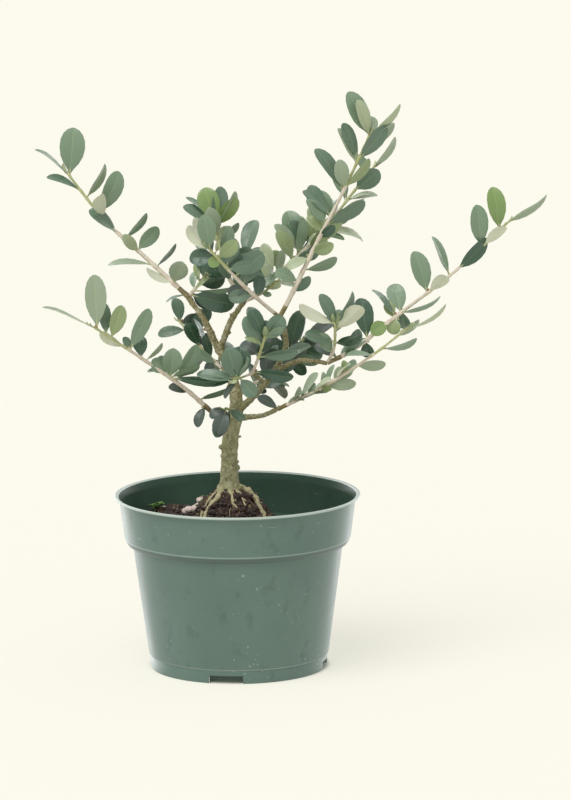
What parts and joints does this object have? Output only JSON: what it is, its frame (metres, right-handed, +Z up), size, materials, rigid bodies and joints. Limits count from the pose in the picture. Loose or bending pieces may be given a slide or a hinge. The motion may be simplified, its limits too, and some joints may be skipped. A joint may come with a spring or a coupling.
{
  "type": "potted dwarf olive tree",
  "caption": "Young dwarf olive with open leafy shoots, rooted on a soil mound in a round plastic nursery pot.",
  "frame": {"origin": "middle of the pot's flat underside, on the pot's axis, at the surface it stands on", "axes": "+Z up along the pot's axis; +X to the right and -Y towards the viewer, with the tree's long shoots spread along X"},
  "size_m": [0.3132, 0.167, 0.3581],
  "materials": {
    "pot_plastic": "satin moulded green plastic, scuffed",
    "potting_soil": "dark crumbly potting mix with bark chips",
    "bark": "grey-olive young bark, finely ridged",
    "young_bark": "brown-olive young bark with pale pores",
    "foliage": "leathery leaves, dark above and pale below"
  },
  "bodies": {
    "root": {"pot": "pot_plastic", "soil": "potting_soil", "trunk": "bark", "bough_upper_left": "young_bark", "bough_upper_centre": "young_bark", "bough_right_centre": "young_bark", "bough_right_side": "young_bark", "bough_right_low": "young_bark", "bough_left_low": "young_bark", "bough_front": "young_bark", "bough_back_right": "young_bark", "bough_back_left": "young_bark", "foliage_left_low": "foliage", "foliage_right_low": "foliage", "foliage_leader": "foliage", "foliage_centre_front": "foliage", "foliage_right_spray": "foliage", "foliage_upper_left": "foliage", "foliage_upper_centre": "foliage", "foliage_upper_right": "foliage", "foliage_front": "foliage", "foliage_back_right": "foliage", "foliage_back_left": "foliage", "foliage_trunk_tuft": "foliage"}
  },
  "joints": []
}
